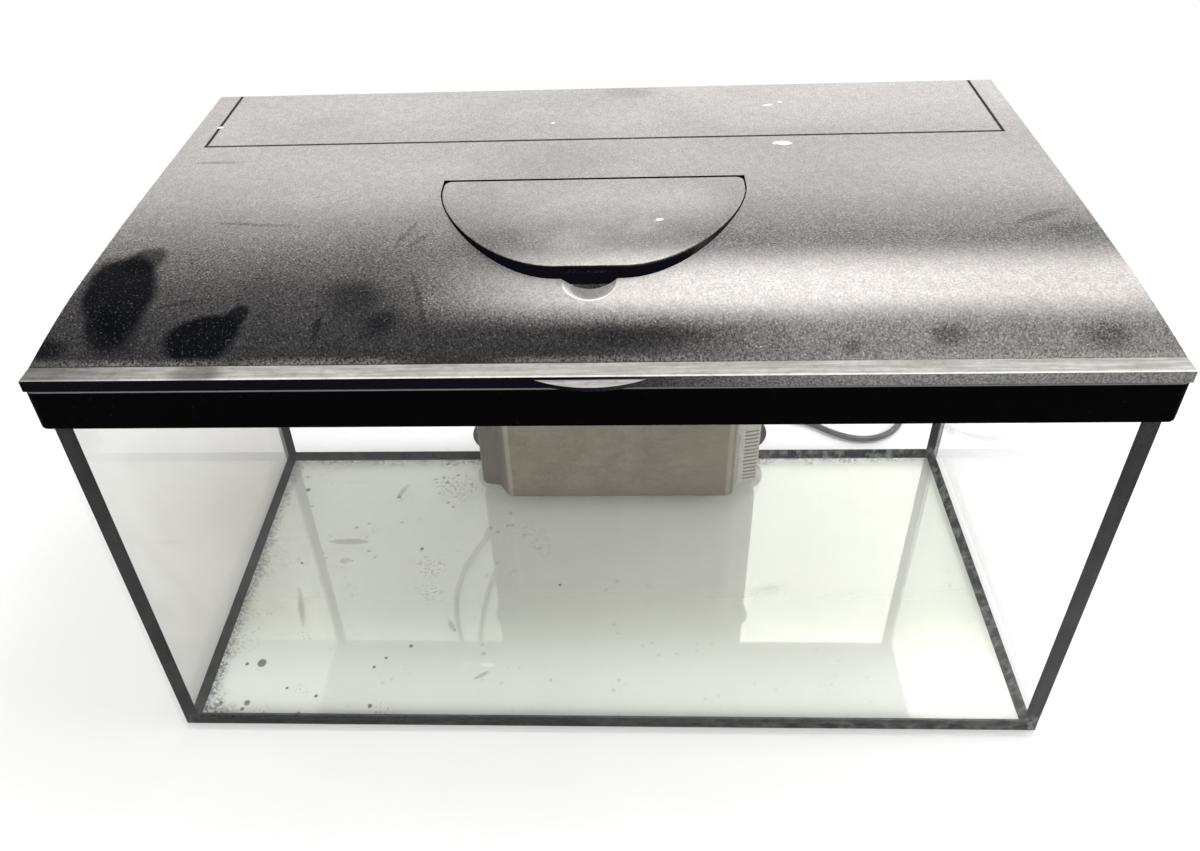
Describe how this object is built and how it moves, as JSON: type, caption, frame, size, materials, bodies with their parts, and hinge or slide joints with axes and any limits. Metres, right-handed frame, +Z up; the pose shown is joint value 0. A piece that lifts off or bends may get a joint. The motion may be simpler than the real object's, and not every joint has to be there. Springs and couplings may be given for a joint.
{
  "type": "glass aquarium",
  "caption": "Rectangular glass tank with sealed edges, a black rim, a hinged hood with a feeding flap and service panel, and a filter box inside the rear wall.",
  "frame": {"origin": "centre of the tank's underside", "axes": "+Z up, +X to the right along the long side, +Y to the rear, where the hood is hinged"},
  "size_m": [0.6066, 0.5222, 0.347],
  "materials": {
    "clear_glass": "float glass with a faint green tint, hazed and smeared",
    "black_sealant": "cured silicone, slightly uneven",
    "frame_black": "smooth moulded black plastic",
    "hood_black": "fine textured black plastic with dust",
    "smoky_plastic": "smoky translucent plastic",
    "pump_black": "black moulded pump plastic",
    "impeller_white": "white moulded plastic",
    "steel_pin": "bright steel",
    "basket_grey": "grey moulded plastic",
    "sponge_blue": "open cell foam",
    "fleece_white": "white filter fleece",
    "cup_rubber": "soft dark rubber",
    "cord_black": "smooth cord sheath",
    "plug_black": "moulded plug",
    "plug_metal": "plated pin",
    "lamp_white": "white lamp housing",
    "lamp_lens": "frosted lens",
    "board_white": "circuit board",
    "chip_yellow": "phosphor of a light emitting diode"
  },
  "bodies": {
    "tank": {"base_pane": "clear_glass", "front_pane": "clear_glass", "rear_pane": "clear_glass", "left_pane": "clear_glass", "right_pane": "clear_glass", "base_seam": "black_sealant", "front_left_seam": "black_sealant", "front_right_seam": "black_sealant", "rear_left_seam": "black_sealant", "rear_right_seam": "black_sealant", "top_frame": "frame_black", "hood_hinge_pins": "steel_pin", "filter_housing": "smoky_plastic", "media_basket": "basket_grey", "sponge": "sponge_blue", "fleece_pad": "fleece_white", "suction_cups": "cup_rubber", "pump_body": "pump_black", "pump_cap": "pump_black", "impeller_shaft": "steel_pin", "outlet_pipe": "smoky_plastic", "cord_gland": "cord_black", "cord_free": "cord_black", "cord_coil": "cord_black", "plug_relief": "cord_black", "plug_body": "plug_black", "plug_pins": "plug_metal"},
    "hood": {"hood": "hood_black", "flap_hinge_pins": "steel_pin", "lamp_housing": "lamp_white", "lamp_lens": "lamp_lens", "led_board": "board_white", "led_chips": "chip_yellow", "lamp_end_caps": "lamp_white", "lamp_screws": "steel_pin", "lamp_inlet": "pump_black"},
    "flap": {"feeding_flap": "hood_black"},
    "rear_panel": {"rear_panel": "hood_black"},
    "filter_cover": {"filter_cover": "smoky_plastic"},
    "impeller": {"impeller": "impeller_white"},
    "nozzle": {"outlet_nozzle": "pump_black"}
  },
  "joints": [
    {"name": "hood_hinge", "type": "hinge", "parent": "tank", "child": "hood", "pos_m": [0, 0.1582, 0.309], "axis": [-1, 0, 0], "range_deg": [0, 95]},
    {"name": "flap_hinge", "type": "hinge", "parent": "hood", "child": "flap", "pos_m": [-0.0012, -0.006, 0.3416], "axis": [-1, 0, 0], "range_deg": [0, 95]},
    {"name": "rear_panel_lift", "type": "slide", "parent": "hood", "child": "rear_panel", "axis": [0, 0, 1], "range_m": [0, 0.05]},
    {"name": "filter_cover_lift", "type": "slide", "parent": "tank", "child": "filter_cover", "axis": [0, 0, 1], "range_m": [0, 0.045]},
    {"name": "impeller_spin", "type": "hinge", "parent": "tank", "child": "impeller", "pos_m": [-0.0845, 0.114, 0.06], "axis": [0, 0, 1], "continuous": true},
    {"name": "nozzle_turn", "type": "hinge", "parent": "tank", "child": "nozzle", "pos_m": [-0.0695, 0.075, 0.244], "axis": [0, 1, 0], "range_deg": [-90, 90]}
  ]
}
